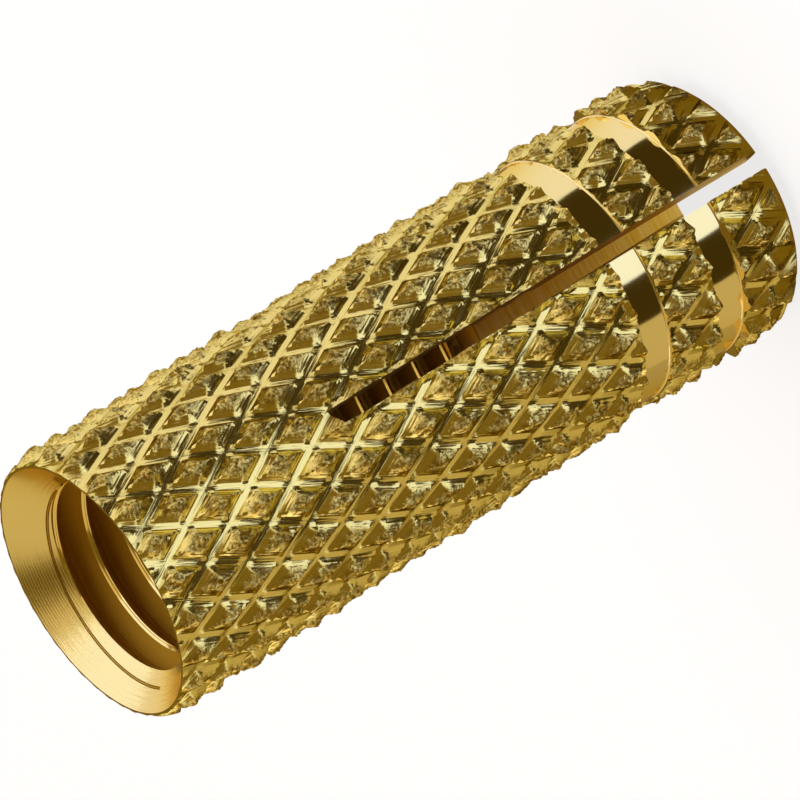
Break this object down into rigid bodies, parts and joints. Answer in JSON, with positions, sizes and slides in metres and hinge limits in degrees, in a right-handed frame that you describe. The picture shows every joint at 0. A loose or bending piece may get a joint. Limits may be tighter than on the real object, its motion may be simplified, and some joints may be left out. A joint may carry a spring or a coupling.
{
  "type": "expansion anchor",
  "caption": "Slotted brass sleeve with a diamond knurl, ring grooves and a tapped, countersunk mouth. A screw driven in spreads its jaws in a drilled hole.",
  "frame": {"origin": "centre of the slotted end's face, which the sleeve stands on", "axes": "+Z along the sleeve's axis, out of the threaded mouth; the saw cut lies in the plane X = 0, but for a lean of less than a degree"},
  "size_m": [0.01, 0.01, 0.0277],
  "materials": {
    "brass": "bright turned and knurled brass"
  },
  "bodies": {
    "root": {"anchor_sleeve": "brass"}
  },
  "joints": []
}
